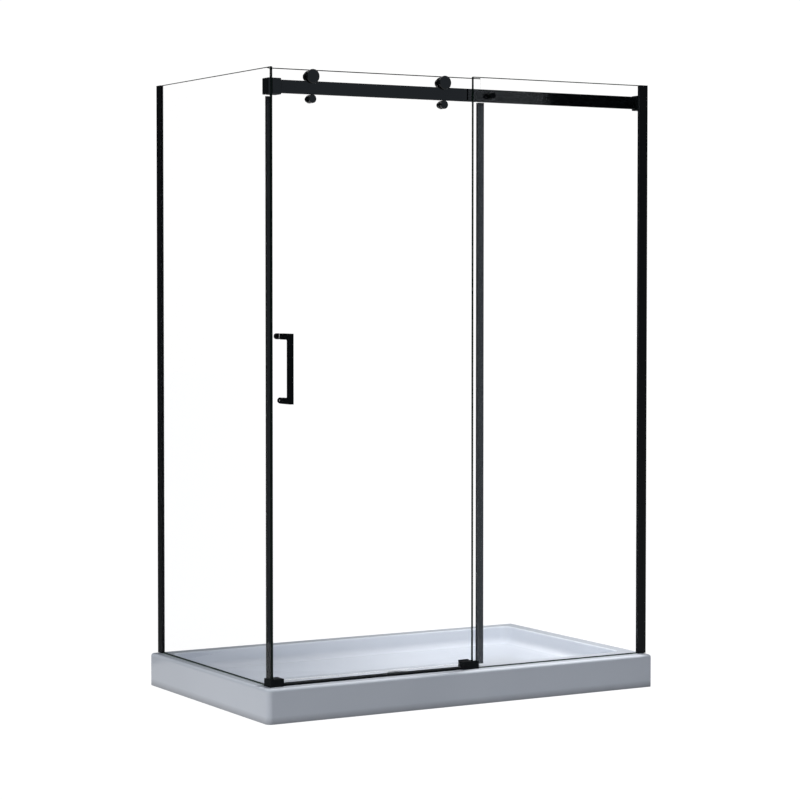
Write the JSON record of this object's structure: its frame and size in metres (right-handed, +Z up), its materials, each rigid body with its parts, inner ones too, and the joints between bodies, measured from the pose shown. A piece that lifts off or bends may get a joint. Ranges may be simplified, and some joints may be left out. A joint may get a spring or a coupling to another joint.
{
  "type": "sliding corner shower enclosure with tray",
  "caption": "Corner shower enclosure: clear glass return and front panels and a sliding glass door with black fittings, hung on a top rail, on a white tray.",
  "frame": {"origin": "middle of the tray's underside, on the floor", "axes": "+Z up, +X to the right along the front, +Y from the front towards the back wall; the door side faces -Y"},
  "size_m": [1.524, 0.9144, 2.12],
  "materials": {
    "white_acrylic": "gloss moulded",
    "batten_timber": "planed softwood, bonded",
    "drain_plastic": "moulded",
    "clear_glass": "clear toughened, ground arrises",
    "black_aluminium": "satin black powder coat",
    "black_steel": "satin black",
    "black_vinyl": "extruded, matt",
    "clear_vinyl": "extruded, clear",
    "black_rubber": "matt",
    "white_nylon": "moulded",
    "black_nylon": "moulded",
    "plain_steel": "machined"
  },
  "bodies": {
    "enclosure": {"tray_shell": "white_acrylic", "tray_support_battens": "batten_timber", "drain_body": "drain_plastic", "drain_lock_nut": "drain_plastic", "return_panel": "clear_glass", "fixed_panel": "clear_glass", "left_wall_jamb": "black_aluminium", "right_wall_jamb": "black_aluminium", "rail_clamp_block": "black_aluminium", "rail_clamp_plate": "black_aluminium", "rail_wall_bracket": "black_aluminium", "corner_foot_block": "black_aluminium", "door_guide_block": "black_aluminium", "threshold_sill": "black_aluminium", "top_rail": "black_steel", "panel_bolt": "black_steel", "panel_bolt_spacer": "black_steel", "rail_clamp_bolt": "black_steel", "block_screws": "black_steel", "jamb_gaskets": "black_vinyl", "glazing_strips": "clear_vinyl", "drain_gaskets": "black_rubber", "rail_clamp_gaskets": "black_rubber", "panel_bolt_gaskets": "black_rubber", "corner_foot_pads": "black_rubber", "door_guide_pads": "black_rubber", "rail_clamp_bush": "white_nylon", "panel_bolt_bush": "white_nylon", "door_guide_liners": "black_nylon", "drain_grate": "plain_steel", "rail_set_screw": "plain_steel"},
    "door": {"door_panel": "clear_glass", "door_strike_profile": "black_vinyl", "door_strike_bulb": "black_rubber", "door_trailing_profile": "black_vinyl", "door_bottom_seal": "clear_vinyl", "roller_caps": "black_steel", "roller_axles": "plain_steel", "bearing_inner_rings": "plain_steel", "roller_spacers": "plain_steel", "roller_washers": "black_steel", "roller_back_nuts": "black_steel", "hanger_gaskets": "black_rubber", "hanger_bushes": "white_nylon", "anti_lift_buttons": "black_steel", "anti_lift_bolts": "black_steel", "door_handle": "black_steel", "handle_gaskets": "black_rubber", "handle_bushes": "white_nylon", "handle_bolts": "plain_steel", "handle_inner_knob": "black_steel", "handle_inner_cap": "black_steel"},
    "left_wheel": {"left_roller_wheel": "black_nylon", "left_bearing_outer_ring": "plain_steel"},
    "right_wheel": {"right_roller_wheel": "black_nylon", "right_bearing_outer_ring": "plain_steel"}
  },
  "joints": [
    {"name": "door_slide", "type": "slide", "parent": "enclosure", "child": "door", "axis": [1, 0, 0], "range_m": [0, 0.6]},
    {"name": "left_wheel_spin", "type": "hinge", "parent": "door", "child": "left_wheel", "pos_m": [-0.5655, -0.39, 2.0963], "axis": [0, 1, 0], "range_deg": [-5, 2225]},
    {"name": "right_wheel_spin", "type": "hinge", "parent": "door", "child": "right_wheel", "pos_m": [-0.0628, -0.39, 2.0963], "axis": [0, 1, 0], "range_deg": [-5, 2225]}
  ],
  "couplings": [
    {"joint": "left_wheel_spin", "follows": "door_slide", "rad_per_m": 64.516},
    {"joint": "right_wheel_spin", "follows": "door_slide", "rad_per_m": 64.516}
  ]
}
